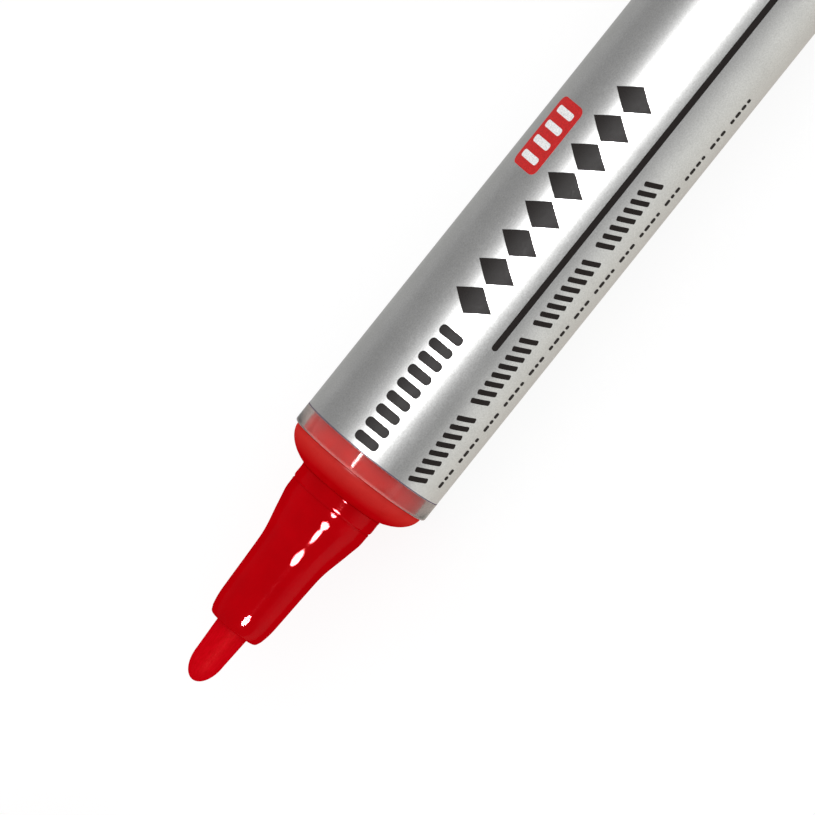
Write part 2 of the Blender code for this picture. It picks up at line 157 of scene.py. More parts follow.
@functools.cache
def place(node):
    """Front, back and radius of a CAD node, in millimetres from the rim and the axis."""
    low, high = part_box(node)
    return (low.x - RIM_X) / MM, (high.x - RIM_X) / MM, (high.z - low.z) / 2 / MM


# ==== outlines ====
def fillet(before, corner, after, rounding, steps):
    """Points that round a corner, kept short enough for the sides next to it."""
    point = Vector(corner[:2])
    one = Vector(before[:2]) - point
    two = Vector(after[:2]) - point
    half_angle = one.angle(two) / 2
    if math.pi - 2 * half_angle < math.radians(18):
        return [tuple(point)]
    room = 0.45 * min(one.length, two.length)
    tangent = min(rounding / math.tan(half_angle), room)
    rounding = tangent * math.tan(half_angle)
    one.normalize()
    two.normalize()
    centre = point + (one + two).normalized() * (rounding / math.sin(half_angle))
    start = point + one * tangent - centre
    end = point + two * tangent - centre
    turn = math.pi - 2 * half_angle
    points = []
    for step in range(steps + 1):
        part = turn * step / steps
        spoke = start * (math.sin(turn - part) / math.sin(turn)) + end * (math.sin(part) / math.sin(turn))
        points.append(tuple(centre + spoke))
    return points


def rounded(corners, soft=SOFT_EDGE):
    """The outline with every corner rounded: by its third number, or by the soft edge."""
    on_axis = corners[0][1] == 0 and corners[-1][1] == 0
    points = []
    for index, corner in enumerate(corners):
        if on_axis and index in (0, len(corners) - 1):
            points.append(corner[:2])
            continue
        rounding = corner[2] if len(corner) > 2 else soft
        before = corners[index - 1]
        after = corners[(index + 1) % len(corners)]
        steps = 8 if rounding > 0.3 else 3
        points.extend(fillet(before, corner, after, rounding, steps) if rounding else [corner[:2]])
    return points


def flowing(start, end, start_slope, end_slope, steps):
    """A smooth curve between two outline points, with a given slope at each end."""
    length = end[0] - start[0]
    points = []
    for step in range(steps + 1):
        t = step / steps
        radius = (2 * t**3 - 3 * t**2 + 1) * start[1] + (3 * t**2 - 2 * t**3) * end[1]
        radius += length * ((t**3 - 2 * t**2 + t) * start_slope + (t**3 - t**2) * end_slope)
        points.append((start[0] + length * t, radius, 0))
    return points


def dome_radius(at):
    """The shoulder's radius at a place ahead of the rim."""
    widest = place("shoulder_plug")[2]
    return widest - DOME_RISE + DOME_RISE * math.sqrt(1 - (at / DOME_DEPTH) ** 2)


def groove(middle, outer):
    """Corners of a seal groove, from front to back."""
    front = middle - SEAL_GROOVE_HALF
    back = middle + SEAL_GROOVE_HALF
    return [(front, outer), (front, SEAL_GROOVE_RADIUS), (back, SEAL_GROOVE_RADIUS), (back, outer)]


# ==== meshes ====
def world_point(at, radius, angle):
    """A point in the frame from its place along, out from and round the marker's axis."""
    return (
        RIM_X + at * MM,
        radius * MM * math.cos(angle),
        AXIS_Z + radius * MM * math.sin(angle),
    )


def turned_mesh(name, outline, sides=SIDES, shift=None):
    """The outline turned about the axis. shift(at, radius, angle) may move a point in or out."""
    verts = []
    rings = []
    for at, radius in outline:
        if radius == 0:
            rings.append([len(verts)] * sides)
            verts.append(world_point(at, 0, 0))
            continue
        rings.append(range(len(verts), len(verts) + sides))
        for side in range(sides):
            angle = 2 * math.pi * side / sides
            out = radius + shift(at, radius, angle) if shift else radius
            verts.append(world_point(at, out, angle))
    closes = outline[0][1] != 0 or outline[-1][1] != 0
    faces = []
    for index in range(len(rings) if closes else len(rings) - 1):
        here = rings[index]
        there = rings[(index + 1) % len(rings)]
        for side in range(sides):
            after = (side + 1) % sides
            corners = [here[side], here[after], there[after], there[side]]
            faces.append(list(dict.fromkeys(corners)))
    return closed_mesh(name, verts, faces)


def closed_mesh(name, verts, faces):
    """A mesh with its normals facing out, smooth except at its sharp edges."""
    mesh = bpy.data.meshes.new(name)
    mesh.from_pydata(verts, [], faces)
    shape = bmesh.new()
    shape.from_mesh(mesh)
    bmesh.ops.recalc_face_normals(shape, faces=shape.faces)
    shape.to_mesh(mesh)
    shape.free()
    mesh.shade_smooth()
    mesh.set_sharp_from_angle(angle=math.radians(40))
    return mesh


def add_piece(name, mesh, finish, body, nodes):
    """A finished piece: it rides on its body and stands for its CAD nodes."""
    mesh.materials.append(finish)
    piece = bpy.data.objects.new(name, mesh)
    bpy.context.scene.collection.objects.link(piece)
    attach(piece, body)
    if nodes:
        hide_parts(*nodes)
    return piece


def turned(name, corners, finish, body="barrel", soft=SOFT_EDGE, shift=None):
    """A turned piece that stands for the CAD node of the same name."""
    mesh = turned_mesh(name, rounded(corners, soft), shift=shift)
    return add_piece(name + "_fine", mesh, finish, body, [name])


def coil(name, radius, wire, turns, finish):
    """A spring of round wire with a closed coil at each end, between its CAD node's ends."""
    front, back, _ = place(name)
    around = 14
    per_turn = 40
    total = round(turns * per_turn)
    closed_pitch = 1.15 * 2 * wire
    open_length = back - front - 2 * wire - 2 * closed_pitch
    verts = []
    for index in range(total + 1):
        turn = index / per_turn
        at = front + wire + min(turn, 1) * closed_pitch
        at += open_length * min(max((turn - 1) / (turns - 2), 0), 1)
        at += max(turn - turns + 1, 0) * closed_pitch
        angle = 2 * math.pi * turn
        for side in range(around):
            spoke = 2 * math.pi * side / around
            out = radius + wire * math.cos(spoke)
            verts.append(world_point(at + wire * math.sin(spoke), out, angle))
    faces = [list(range(around)), list(range(total * around, (total + 1) * around))]
    for index in range(total):
        for side in range(around):
            here = index * around + side
            beside = index * around + (side + 1) % around
            faces.append([here, beside, beside + around, here + around])
    mesh = closed_mesh(name, verts, faces)
    return add_piece(name + "_fine", mesh, finish, "barrel", [name])


def shorten_springs():
    """Gives each spring and bellows that the record lists as deforming a mesh of its own."""
    for joint in frame["record"]["behaviour"]["joints"]:
        for soft in joint.get("deforming_nodes", []):
            piece = bpy.data.objects[soft["node"] + "_fine"]
            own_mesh(piece)


# ==== materials ====
def set_input(tree, socket, value):
    """Gives an input a value or another node's output socket."""
    if isinstance(value, bpy.types.NodeSocket):
        tree.links.new(value, socket)
    else:
        socket.default_value = value


def add_node(tree, kind, settings=None, **inputs):
    """A shader node. Inputs go by their name, or by their number after an i."""
    made = tree.nodes.new("ShaderNode" + kind)
    for key, value in (settings or {}).items():
        setattr(made, key, value)
    for key, value in inputs.items():
        by_number = key[0] == "i" and key[1:].isdigit()
        socket = int(key[1:]) if by_number else key.replace("_", " ")
        set_input(tree, made.inputs[socket], value)
    return made


def new_material(name):
    """A material, its tree, its shader and a socket with the place in millimetres."""
    finish = bpy.data.materials.new(name)
    finish.use_nodes = True
    tree = finish.node_tree
    shader = tree.nodes["Principled BSDF"]
    coordinates = add_node(tree, "TexCoord")
    place_in_metres = coordinates.outputs["Object"]
    scaled = add_node(tree, "VectorMath", {"operation": "SCALE"}, i0=place_in_metres, Scale=1 / MM)
    return finish, tree, shader, scaled.outputs[0]


def noise(tree, where, scale, detail=3.0, stretch=(1, 1, 1), rough=0.55):
    """Noise of about one cycle in 1/scale millimetres, stretched along an axis by a value below 1."""
    moved = add_node(tree, "VectorMath", {"operation": "MULTIPLY"}, i0=where, i1=stretch)
    made = add_node(tree, "TexNoise", Vector=moved.outputs[0], Scale=scale, Detail=detail, Roughness=rough)
    return made.outputs["Fac"]


def spread(tree, value, low, high, start=0.3, end=0.7):
    """The value's middle part stretched from low to high."""
    made = add_node(tree, "MapRange", i0=value, i1=start, i2=end, i3=low, i4=high)
    return made.outputs[0]


def tinted(tree, value, dark, light, start=0.3, end=0.7):
    """A colour between dark and light by the value."""
    share = spread(tree, value, 0.0, 1.0, start, end)
    made = add_node(tree, "Mix", {"data_type": "RGBA"}, i0=share, i6=(*dark, 1), i7=(*light, 1))
    return made.outputs[2]


def bumped(tree, height, depth, strength=1.0, base=None):
    """A normal from a height in 0..1 that stands for a depth in millimetres."""
    made = add_node(tree, "Bump", Strength=strength, Distance=depth * MM, Height=height)
    if base:
        tree.links.new(base, made.inputs["Normal"])
    return made.outputs["Normal"]


def set_inputs(tree, shader, **inputs):
    """Sets the shader's inputs by their names."""
    for key, value in inputs.items():
        set_input(tree, shader.inputs[key.replace("_", " ")], value)


def fading_gloss(tree, level):
    """A specular level that fades towards the silhouette, as pigment-rich plastic under soft light."""
    facing = add_node(tree, "LayerWeight", Blend=0.5).outputs["Facing"]
    return spread(tree, facing, level, 0.0, 0.10, 0.45)


def moulded_plastic(name, colour, roughness, specular=0.5, tint=None, subsurface=0.0):
    """Moulded plastic: cloudy pigment, faint orange peel and fine handling scratches.
    With a tint its gloss takes that colour and fades towards the silhouette."""
    finish, tree, shader, where = new_material(name)
    cloud = noise(tree, where, 0.35, detail=4)
    dark = tuple(channel * 0.93 for channel in colour)
    light = tuple(min(channel * 1.05, 1) for channel in colour)
    peel = noise(tree, where, 0.9, detail=2)
    scratches = noise(tree, where, 9.0, detail=1, stretch=(0.12, 1, 1))
    rubbed = spread(tree, scratches, roughness * 0.85, roughness * 1.35, 0.35, 0.75)
    fine = bumped(tree, scratches, 0.0002, 0.5)
    set_inputs(
        tree,
        shader,
        Base_Color=tinted(tree, cloud, dark, light),
        Roughness=rubbed,
        Normal=bumped(tree, peel, 0.0025, 0.6, fine),
        Specular_IOR_Level=fading_gloss(tree, specular) if tint else specular,
        Specular_Tint=(*(tint or (1, 1, 1)), 1),
        Subsurface_Weight=subsurface,
        Subsurface_Radius=(1, 0.25, 0.15),
        Subsurface_Scale=1.2 * MM,
    )
    return finish


def shoulder_plastic(name):
    """Semi-translucent red plastic, its own deep red towards the nozzle, with painted light: a warmer,
    lighter red beside the rim, and a lighter red on the skirt seen through the clear tube.
    """
    finish, tree, shader, where = new_material(name)
    along = add_node(tree, "SeparateXYZ", Vector=where).outputs[0]
    rim = RIM_X / MM
    # painted light: a warmer, lighter red beside the rim, fading to the plastic's own deep red towards the
    # nozzle
    painted_light_share = spread(tree, along, 0.0, 1.0, rim - 2.4, rim - 0.6)
    cloud = noise(tree, where, 0.5, detail=4)
    deep = tinted(tree, cloud, (0.45, 0.0005, 0.002), (0.50, 0.001, 0.004))
    painted_light_red = tinted(tree, cloud, (0.54, 0.024, 0.020), (0.60, 0.028, 0.023))
    outside = add_node(tree, "Mix", {"data_type": "RGBA"}, i0=painted_light_share, i6=deep, i7=painted_light_red).outputs[2]
    # painted light: a lighter red on the skirt behind the rim, where it shows through the clear tube
    behind_rim = spread(tree, along, 0.0, 1.0, rim - 0.15, rim - 0.05)
    skirt_painted_light = tinted(tree, cloud, (0.54, 0.008, 0.006), (0.63, 0.012, 0.009))
    colour = add_node(tree, "Mix", {"data_type": "RGBA"}, i0=behind_rim, i6=outside, i7=skirt_painted_light)
    peel = noise(tree, where, 1.6, detail=3)
    set_inputs(
        tree,
        shader,
        Base_Color=colour.outputs[2],
        Roughness=spread(tree, peel, 0.24, 0.34),
        Normal=bumped(tree, peel, 0.006, 0.6),
        Specular_IOR_Level=fading_gloss(tree, 0.05),
    )
    return finish


def inked_fibre(name, dark, light, scale):
    """Bonded fibres that run along the nib, wet with ink."""
    finish, tree, shader, where = new_material(name)
    fibres = noise(tree, where, scale, detail=5, stretch=(0.22, 1, 1), rough=0.7)
    pores = noise(tree, where, scale * 1.7, detail=2)
    height = add_node(tree, "Math", {"operation": "MULTIPLY_ADD"}, i0=fibres, i1=0.6, i2=pores)
    set_inputs(
        tree,
        shader,
        Base_Color=tinted(tree, fibres, dark, light, 0.35, 0.68),
        Roughness=spread(tree, pores, 0.42, 0.72),
        Normal=bumped(tree, height.outputs[0], 0.02, 0.8),
        Specular_IOR_Level=fading_gloss(tree, 0.03),
        Specular_Tint=(1, 0.1, 0.1, 1),
    )
    return finish


def clear_plastic(name):
    """Clear moulded tube: fine scratches that catch the light, and a painted glow at its rims, an emission
    that stands in for their highlight.
    """
    finish, tree, shader, where = new_material(name)
    front, back, _ = place("barrel_tube")
    along = add_node(tree, "SeparateXYZ", Vector=where).outputs[0]
    middle = RIM_X / MM + (front + back) / 2
    from_middle = add_node(tree, "Math", {"operation": "SUBTRACT"}, i0=along, i1=middle).outputs[0]
    away = add_node(tree, "Math", {"operation": "ABSOLUTE"}, i0=from_middle).outputs[0]
    half = (back - front) / 2
    scratches = noise(tree, where, 7.0, detail=2, stretch=(1, 0.15, 0.15))
    set_inputs(
        tree,
        shader,
        Base_Color=(0.99, 0.84, 0.79, 1),
        Roughness=spread(tree, scratches, 0.06, 0.13, 0.45, 0.8),
        Normal=bumped(tree, noise(tree, where, 0.8), 0.004, 0.5),
        Transmission_Weight=1.0,
        IOR=1.49,
        # painted glow: a pale pink emission near both rims stands in for the highlight along them
        Emission_Color=(1.0, 0.72, 0.68, 1),
        Emission_Strength=spread(tree, away, 0.0, RIM_PAINTED_GLOW, half - 0.35, half - 0.05),
    )
    finish.cycles.emission_sampling = "NONE"  # the rims light nothing else
    return finish


def silver_film(name):
    """Satin silver film: metal flake grain, slow cloudiness and a thin clear lacquer."""
    finish, tree, shader, where = new_material(name)
    flake = noise(tree, where, 6.0, detail=3, rough=0.7)
    cloud = noise(tree, where, 0.25, detail=3)
    base = tinted(tree, flake, (0.47, 0.47, 0.465), (0.68, 0.68, 0.675), 0.25, 0.75)
    shade = tinted(tree, cloud, (0.93, 0.93, 0.93), (1.0, 1.0, 1.0))
    colour = add_node(tree, "Mix", {"data_type": "RGBA", "blend_type": "MULTIPLY"}, i0=1.0, i6=base, i7=shade)
    set_inputs(
        tree,
        shader,
        Base_Color=colour.outputs[2],
        Metallic=0.9,
        Roughness=spread(tree, flake, 0.34, 0.38),
        Normal=bumped(tree, flake, 0.0015, 0.5),
        Coat_Weight=0.25,
        Coat_Roughness=0.12,
    )
    return finish


def printed_ink(name, colour, roughness=0.50):
    """Screen-printed ink: slightly uneven, with the film's grain telegraphing through."""
    finish, tree, shader, where = new_material(name)
    grain = noise(tree, where, 6.0, detail=3)
    dark = tuple(channel * 0.8 for channel in colour)
    light = tuple(min(channel * 1.25, 1) for channel in colour)
    set_inputs(
        tree,
        shader,
        Base_Color=tinted(tree, grain, dark, light),
        Roughness=spread(tree, grain, roughness * 0.85, roughness * 1.2),
        Normal=bumped(tree, grain, 0.002, 0.5),
        Specular_IOR_Level=0.08,
    )
    return finish


def soft_rubber(name, colour, roughness):
    """Rubber or silicone with a slow bloom and a fine grain."""
    finish, tree, shader, where = new_material(name)
    bloom = noise(tree, where, 1.2, detail=4)
    grain = noise(tree, where, 10.0, detail=2)
    light = tuple(channel * 1.5 + 0.01 for channel in colour)
    set_inputs(
        tree,
        shader,
        Base_Color=tinted(tree, bloom, colour, light),
        Roughness=spread(tree, bloom, roughness * 0.9, roughness * 1.15),
        Normal=bumped(tree, grain, 0.004, 0.5),
    )
    return finish


def drawn_steel(name):
    """Bright spring wire with drawing lines."""
    finish, tree, shader, where = new_material(name)
    lines = noise(tree, where, 12.0, detail=2, stretch=(1, 0.2, 0.2))
    set_inputs(
        tree,
        shader,
        Base_Color=tinted(tree, lines, (0.48, 0.48, 0.49), (0.68, 0.68, 0.69)),
        Metallic=1.0,
        Roughness=spread(tree, lines, 0.18, 0.36),
    )
    return finish


def open_foam(name):
    """Open-cell foam soaked in ink."""
    finish, tree, shader, where = new_material(name)
    cells = add_node(tree, "TexVoronoi", Vector=where, Scale=4.0).outputs["Distance"]
    set_inputs(
        tree,
        shader,
        Base_Color=tinted(tree, cells, (0.20, 0.004, 0.010), (0.50, 0.02, 0.03), 0.1, 0.6),
        Roughness=0.9,
        Normal=bumped(tree, cells, 0.08, 0.8),
    )
    return finish


# ==== writing end ====
def build_nib(felt):
    tip, back, radius = place("nib")
    mouth = place("nozzle")[0]
    bullet_at, bullet_radius = NIB_BULLET
    corners = [(back, 0), (back, radius, 0.25), (mouth, radius)]
    steps = 28
    for step in range(steps):
        angle = math.pi / 2 * step / steps
        corners.append(
            (bullet_at - (bullet_at - tip) * math.sin(angle), bullet_radius * math.cos(angle), 0)
        )
    corners.append((tip, 0))
    turned("nib", corners, felt)


def build_nozzle(red):
    end, back, flange = place("nozzle")
    groove_half = 0.17
    groove_depth = 0.13
    flange_back = -3.11
    spigot = 4.5
    bore = place("nib")[2] + CLEARANCE
    chamber = 3.0
    chamber_front = -10.0
    lip = 5.215  # the land's radius beside the ring groove
    corners = [
        (back, chamber),
        (back, spigot, 0.2),
        (flange_back + 0.18, spigot, 0),
        (flange_back, flange - 0.05, 0.04),
        (flange_back - 0.08, flange, 0.06),
        (flange_back - 0.36, flange - 0.045, 0.1),
        (NOZZLE_GROOVE + groove_half + 0.2, 5.25, 0.1),
        (NOZZLE_GROOVE + groove_half, lip, 0.04),
        (NOZZLE_GROOVE, lip - groove_depth, 0.05),
        (NOZZLE_GROOVE - groove_half, 5.19, 0.04),
        (NOZZLE_GROOVE - groove_half - 0.22, 5.15, 0.1),
    ]
    for start, finish in zip(NOZZLE_CURVE, NOZZLE_CURVE[1:]):
        corners += flowing(start[:2], finish[:2], start[2], finish[2], steps=14)[:-1]
    corners += [
        (*NOZZLE_CURVE[-1][:2], 0),
        (end, NOZZLE_END_RADIUS, 0.45),
        (end, bore, 0.08),
        (chamber_front, bore, 0),
        (chamber_front, chamber, 0),
    ]
    turned("nozzle", corners, red)


def build_shoulder_plug(red):
    front, back, widest = place("shoulder_plug")
    bore = 4.6
    sleeve_front = place("feed_sleeve")[0]
    seal_front, seal_back, _ = place("front_seal_ring")
    flange_back = -0.03
    corners = [(flange_back, SKIRT_RADIUS, 0), (flange_back, widest, 0.04)]
    steps = 28
    for step in range(2, steps + 1):
        at = front * math.sin(math.pi / 2 * step / steps)
        corners.append((at, dome_radius(at), 0.05 if step == steps else 0))
    corners += [
        (front + 0.12, bore, 0),
        (sleeve_front - CLEARANCE, bore, 0.1),
        (sleeve_front - CLEARANCE, SKIRT_BORE, 0.1),
        (back, SKIRT_BORE, 0.1),
        (back, SKIRT_RADIUS, 0.4),
    ]
    corners += reversed(groove((seal_front + seal_back) / 2, SKIRT_RADIUS))
    turned("shoulder_plug", corners, red)


def build_seal_ring(node, rubber):
    front, back, _ = place(node)
    middle = (front + back) / 2
    sides = 24
    ring = []
    for side in range(sides):
        angle = 2 * math.pi * side / sides
        at = middle + SEAL_CORD * math.cos(angle)
        ring.append((at, SEAL_RING_RADIUS + SEAL_CORD * math.sin(angle), 0))
    turned(node, ring, rubber)


def build_feed_sleeve(natural):
    front, back, outer = place("feed_sleeve")
    rib_front, rib_back = SLEEVE_RIB
    stem_hole = 1.3
    corners = [
        (front, SLEEVE_BORE),
        (front, outer),
        (back, outer, 0.4),
        (back, SLEEVE_BORE),
        (rib_back, SLEEVE_BORE),
        (rib_back, stem_hole),
        (rib_front, stem_hole),
        (rib_front, SLEEVE_BORE),
    ]
    turned("feed_sleeve", corners, natural)


def build_relay_wick(felt):
    front, back, outer = place("relay_wick")
    corners = [(front, 0), (front, outer, 0.25), (back, outer, 0.25), (back, 0)]
    turned("relay_wick", corners, felt)


def build_ink_absorber(foam):
    front, back, outer = place("ink_absorber")
    bore = 2.1
    corners = [(front, bore), (front, outer), (back, outer), (back, bore)]
    turned("ink_absorber", corners, foam)


def build_valve_seat(silicone):
    front, back, outer = place("valve_seat")
    hole = 1.6
    cone = 2.7
    corners = [(front, cone), (front, outer), (back, outer), (back, hole), (front + cone - hole, hole)]
    turned("valve_seat", corners, silicone)


def build_valve_poppet(natural):
    front, back, head = place("valve_poppet")
    cone_tip = place("valve_seat")[0] + 2.55
    corners = [
        (front, 0),
        (front, POPPET_STEM, 0.2),
        (POPPET_HEAD_FRONT, POPPET_STEM),
        (POPPET_HEAD_FRONT, head),
        (cone_tip - head, head),
        (cone_tip - POPPET_PIN, POPPET_PIN),
        (back, POPPET_PIN, 0.2),
        (back, 0),
    ]
    turned("valve_poppet", corners, natural, body="poppet")


# ==== barrel ====
def build_barrel_tube(clear):
    """The clear tube, a little slimmer where the label covers it."""
    front, back, radius = place("barrel_tube")
    bore = 7.8
    panel = radius - 0.11
    corners = [
        (front, bore, 0.06),
        (front, radius, 0.24),
        (CLEAR_BAND, radius, 0.03),
        (CLEAR_BAND, panel, 0.02),
        (back - CLEAR_BAND, panel, 0.02),
        (back - CLEAR_BAND, radius, 0.03),
        (back, radius, 0.32),
        (back, bore, 0.1),
    ]
    turned("barrel_tube", corners, clear)


def label_radii():
    """The film's inside and outside radius. The black and red inks fill the rest of its frame box."""
    radius = place("label_film")[2]
    return radius - LABEL_THICKNESS - 0.01, radius - PRINT_HEIGHT


def build_label(silver):
    front = CLEAR_BAND
    back = place("barrel_tube")[1] - CLEAR_BAND
    inner, outer = label_radii()
    corners = [(front, inner, 0), (front, outer, 0.02), (back, outer, 0.02), (back, inner, 0)]
    turned("label_film", corners, silver)


def build_label_edge(edge_shade):
    """Painted shade: a thin dark violet line round the label's front edge, where the film's edge throws its
    shadow.
    """
    inner, outer = label_radii()
    base = inner + 0.02
    top = outer + 0.006
    front = CLEAR_BAND + 0.03
    back = front + 0.1
    corners = [(front, base, 0), (front, top, 0), (back, top, 0), (back, base, 0)]
    edge_line = turned_mesh("label_edge_line", rounded(corners))
    add_piece("label_edge_line", edge_line, edge_shade, "barrel", [])


# ==== pump ====
def build_tail_plug(red):
    front, back, radius = place("tail_plug")
    tube_back = place("barrel_tube")[1]
    seal_front, seal_back, _ = place("tail_seal_ring")
    floor = place("pump_bellows")[0] - CLEARANCE
    hole = 0.8
    corners = [(front, hole), (front, SKIRT_RADIUS, 0.1)]
    corners += groove((seal_front + seal_back) / 2, SKIRT_RADIUS)
    corners += [
        (tube_back + 0.03, SKIRT_RADIUS, 0),
        (tube_back + 0.03, radius, 0.12),
        (back, radius, 0.2),
        (back, TAIL_CHAMBER),
        (floor, TAIL_CHAMBER),
        (floor, hole),
    ]
    turned("tail_plug", corners, red)


def build_retaining_collar(red):
    front, rear, radius = place("retaining_collar")
    step = place("tail_plug")[1] + CLEARANCE
    spigot = TAIL_CHAMBER - CLEARANCE
    corners = [
        (front, COLLAR_BORE, 0.1),
        (front, spigot, 0.1),
        (step, spigot, 0),
        (step, radius, 0.2),
        (rear, radius, 1.2),
        (rear, COLLAR_BORE, 0.3),
    ]
    turned("retaining_collar", corners, red)


def build_pump(red, rubber, silicone, steel):
    build_tail_plug(red)
    build_retaining_collar(red)
    build_button(red)
    build_bellows(silicone)
    coil("pump_spring", 5.2, 0.33, 4.5, steel)
    build_check_valve(rubber)


def build_button(red):
    front, back, flange = place("pump_button")
    ceiling = place("pump_bellows")[1] + CLEARANCE
    flange_back = place("retaining_collar")[0] - 0.3
    radius = 5.5
    bore = 4.5
    dish = 3.6
    dish_depth = 0.25
    corners = [
        (ceiling, 0),
        (ceiling, bore, 0.3),
        (front, bore),
        (front, flange),
        (flange_back, flange),
        (flange_back, radius, 0.1),
        (back, radius, 0.9),
        (back, dish, 0.3),
        (back - dish_depth, dish - 0.45, 0.3),
        (back - dish_depth, 0),
    ]
    turned("pump_button", corners, red, body="button")


def build_bellows(silicone):
    front, back, crest = place("pump_bellows")
    folds = 5
    wall = 0.5
    root = 3.4
    step = (back - front - 2 * wall) / (2 * folds)
    outside = []
    inside = []
    for index in range(2 * folds + 1):
        radius = root if index % 2 else crest
        outside.append((front + wall + index * step, radius, 0.35))
        inside.append((front + wall + index * step, radius - wall, 0.3))
    corners = [(back - wall, 0)]
    corners += reversed(inside)
    corners += [(front, crest - wall), (front, crest)]
    corners += outside
    corners += [(back, crest, 0.3), (back, 0)]
    turned("pump_bellows", corners, silicone)


def build_check_valve(rubber):
    front, back, lip = place("check_valve")
    flap_back = place("tail_plug")[0] - 0.15
    stem = 0.6
    bulb = 1.05
    bulb_front = back - 0.9
    corners = [
        (front, 0),
        (front + 0.2, lip - 1.0, 0.3),
        (front + 0.7, lip, 0.1),
        (flap_back, lip, 0.1),
        (flap_back, stem, 0.1),
        (bulb_front, stem, 0.05),
        (bulb_front, bulb, 0.15),
        (back, stem, 0.2),
        (back, 0),
    ]
    turned("check_valve", corners, rubber)


# ==== cap ====
def flute_depth(at, angle):
    """How far the cap's outside is pulled in by its grip flutes."""
    mouth = place("cap_shell")[1]
    start, end = CAP_FLUTE_FROM_MOUTH
    from_end = min(mouth - at - start, end - (mouth - at))
    if from_end <= 0:
        return 0
    ramp = min(from_end / CAP_FLUTE_RAMP, 1)
    ramp = ramp * ramp * (3 - 2 * ramp)
    spacing = 2 * math.pi / CAP_FLUTES
    off = (angle + math.pi / 2) % spacing - spacing / 2
    share = abs(off) * place("cap_shell")[2] / (CAP_FLUTE_WIDTH / 2)
    if share >= 1:
        return 0
    return -CAP_FLUTE_DEPTH * ramp * (0.5 + 0.5 * math.cos(math.pi * share))


def build_cap_shell(red, travel):
    """The cap's outside with its flutes, and a mouth that follows the dome."""
    end, mouth, radius = place("cap_shell")
    lip_back = -1.85
    corners = [(lip_back + travel, CAP_BORE, 0.1)]
    for at in (-1.7, -1.5, -1.3, -1.1, -0.9, -0.7, CAP_MOUTH):
        corners.append((at + travel, dome_radius(at) + 0.12, 0))
    corners.append((mouth, radius, 0.12))
    flute_start, flute_end = CAP_FLUTE_FROM_MOUTH
    rings = 90
    for ring in range(rings + 1):
        corners.append((mouth - flute_start - (flute_end - flute_start) * ring / rings, radius, 0))
    recess = end + 0.9
    disc = place("cap_end_plug")[2] + CLEARANCE
    pin = 2.0
    corners += [
        (end, radius, 1.8),
        (end, disc, 0.1),
        (recess, disc, 0),
        (recess, pin, 0),
        (end + CAP_WALL, pin),
        (end + CAP_WALL, CAP_BORE, 0.8),
    ]

    def shift(at, radius_here, angle):
        return flute_depth(at, angle) if radius_here > CAP_BORE + 1 else 0

    turned("cap_shell", corners, red, body="cap", shift=shift)


def build_cap_liner(natural, travel):
    """An inner cup that closes round the nozzle, with a boss for the end plug's pin."""
    front, back, outer = place("cap_liner")
    wall = 0.9
    throat = 4.6
    floor = -31.0 + travel
    floor_back = floor - 1.3
    boss = 2.9
    pin_hole = 1.4
    pin_hole_end = floor - 2.5
    corners = [
        (floor, 0),
        (floor, throat, 0.8),
        (-12.0 + travel, throat, 0.5),
        (-7.0 + travel, outer - wall, 0.5),
        (back, outer - wall, 0.15),
        (back, outer, 0.3),
        (-7.5 + travel, outer, 0.5),
        (-12.5 + travel, throat + wall, 0.5),
        (floor_back, throat + wall, 1.0),
        (floor_back, boss, 0.3),
        (front, boss, 0.15),
        (front, pin_hole, 0.1),
        (pin_hole_end, pin_hole, 0.1),
        (pin_hole_end, 0),
    ]
    turned("cap_liner", corners, natural, body="cap")


def build_cap_end_plug(red):
    end, back, disc = place("cap_end_plug")
    disc_back = end + 0.8
    pin = 1.9
    liner_pin = 1.3
    corners = [
        (end, 0),
        (end, disc, 0.15),
        (disc_back, disc),
        (disc_back, pin, 0),
        (end + CAP_WALL, pin),
        (end + CAP_WALL, liner_pin, 0),
        (back, liner_pin, 0.3),
        (back, 0),
    ]
    turned("cap_end_plug", corners, red, body="cap")


# ==== printed marks on the label ====
def block(along, around, length, height, rounding, tilt=0.0):
    """A printed block with rounded corners, as one flat outline of (along, around) points."""
    rounding = min(rounding, length / 2 - 0.001, height / 2 - 0.001)
    points = []
    for quarter in range(4):
        across = 1 if quarter in (0, 3) else -1
        up = 1 if quarter in (0, 1) else -1
        centre = (across * (length / 2 - rounding), up * (height / 2 - rounding))
        for step in range(6):
            angle = math.pi / 2 * (quarter + step / 5)
            points.append(
                (centre[0] + rounding * math.cos(angle), centre[1] + rounding * math.sin(angle))
            )
    turned_points = []
    for x, y in points:
        turned_points.append(
            (
                along + x * math.cos(tilt) - y * math.sin(tilt),
                around + x * math.sin(tilt) + y * math.cos(tilt),
            )
        )
    return [turned_points]


def lozenges(start, around, length, height, count, pitch):
    """A row of equal solid lozenges."""
    shapes = []
    for index in range(count):
        at = start + index * pitch
        low = (at, around - height / 2)
        high = (at, around + height / 2)
        shapes.append([(at - length / 2, around), low, (at + length / 2, around), high])
    return shapes


